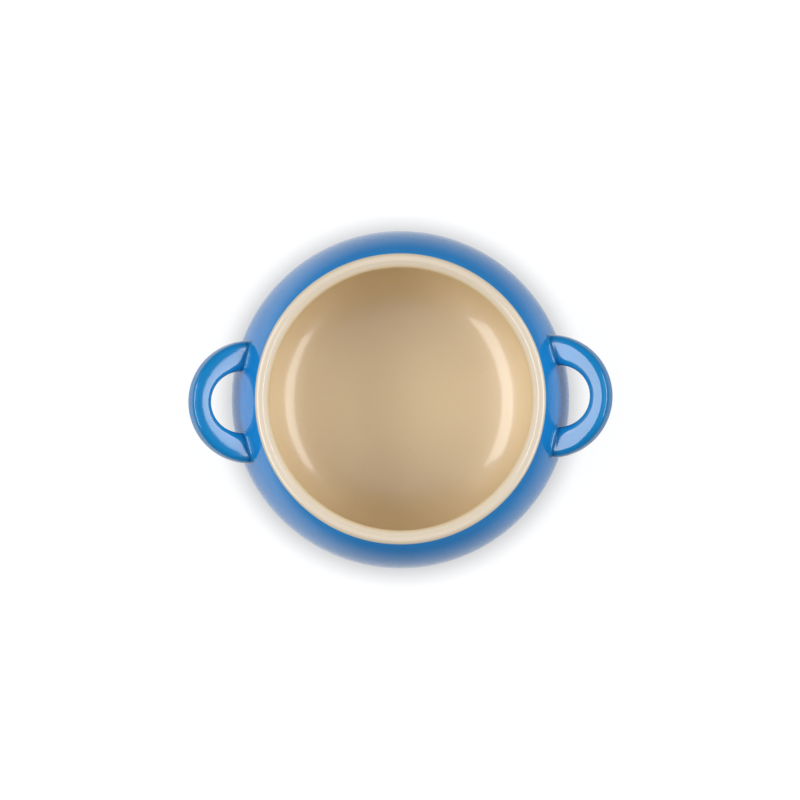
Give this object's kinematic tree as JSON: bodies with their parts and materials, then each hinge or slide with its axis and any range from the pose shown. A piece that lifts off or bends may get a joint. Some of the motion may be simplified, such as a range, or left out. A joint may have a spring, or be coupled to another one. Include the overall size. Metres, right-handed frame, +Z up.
{
  "type": "mini cocotte",
  "caption": "Small round stoneware pot with a full belly, rounded shoulder and a raised loop handle on each side, glazed blue outside and cream inside, for baking and serving a portion.",
  "frame": {"origin": "centre of the foot ring, on the surface that the pot stands on", "axes": "+X out through the right handle, +Y to the back, +Z up through the mouth"},
  "size_m": [0.1304, 0.106, 0.056],
  "materials": {
    "stoneware": "matte",
    "luting_slip": "matte",
    "cream_glaze": "gloss",
    "blue_glaze": "gloss"
  },
  "bodies": {
    "root": {"stoneware_body": "stoneware", "interior_glaze": "cream_glaze", "exterior_glaze": "blue_glaze", "base_glaze": "blue_glaze", "left_handle": "stoneware", "right_handle": "stoneware", "left_handle_glaze": "blue_glaze", "right_handle_glaze": "blue_glaze", "left_front_slip_joint": "luting_slip", "left_back_slip_joint": "luting_slip", "right_front_slip_joint": "luting_slip", "right_back_slip_joint": "luting_slip"}
  },
  "joints": []
}
